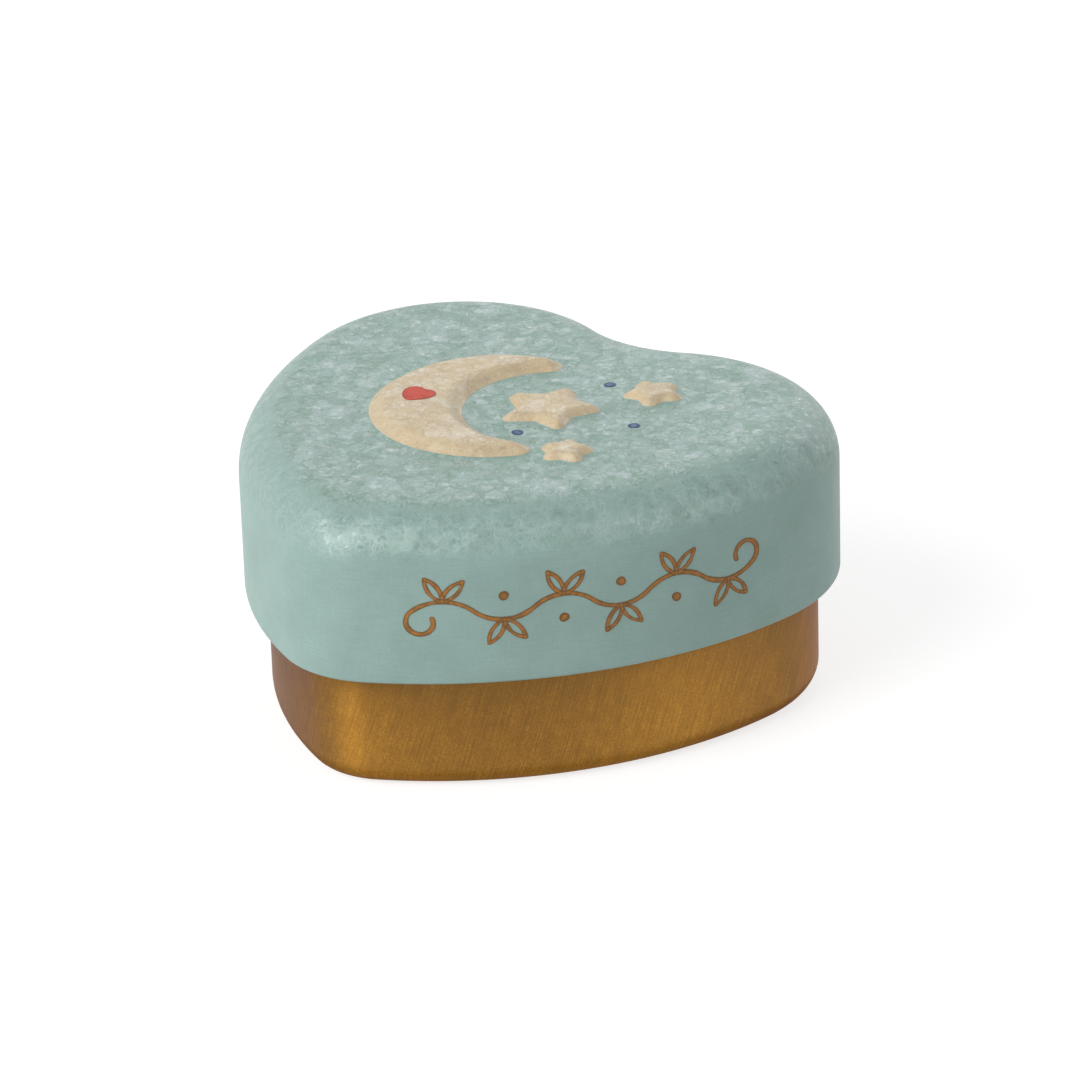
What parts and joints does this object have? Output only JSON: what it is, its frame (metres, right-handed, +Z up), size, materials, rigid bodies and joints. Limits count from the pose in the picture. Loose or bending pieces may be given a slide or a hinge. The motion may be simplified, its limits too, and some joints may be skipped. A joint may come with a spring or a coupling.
{
  "type": "heart-shaped keepsake tin",
  "caption": "Small heart-shaped baby tooth box: a deep mint slip lid with a raised moon and stars over a gold drawn base.",
  "frame": {"origin": "on the table, under the middle of the tin's length and width", "axes": "+Z up, the way the lid lifts; the heart's tip points to -Y and its width lies along X"},
  "size_m": [0.064, 0.0594, 0.0322],
  "materials": {
    "mint_lacquer": "satin mint lacquer with a fine crackle over tinplate",
    "gold_lacquer": "satin gold lacquer over brushed tinplate",
    "cream_ink": "satin cream print with a fine crackle",
    "blue_ink": "satin dusty blue print",
    "red_ink": "satin brick red print",
    "gold_ink": "satin dark gold print"
  },
  "bodies": {
    "base": {"base_shell": "gold_lacquer"},
    "lid": {"lid_shell": "mint_lacquer", "moon_print": "cream_ink", "star_prints": "cream_ink", "blue_dot_prints": "blue_ink", "red_heart_print": "red_ink", "gold_vine_print": "gold_ink"}
  },
  "joints": [
    {"name": "lid_lift", "type": "slide", "parent": "base", "child": "lid", "axis": [0, 0, 1], "range_m": [0, 0.03]}
  ]
}
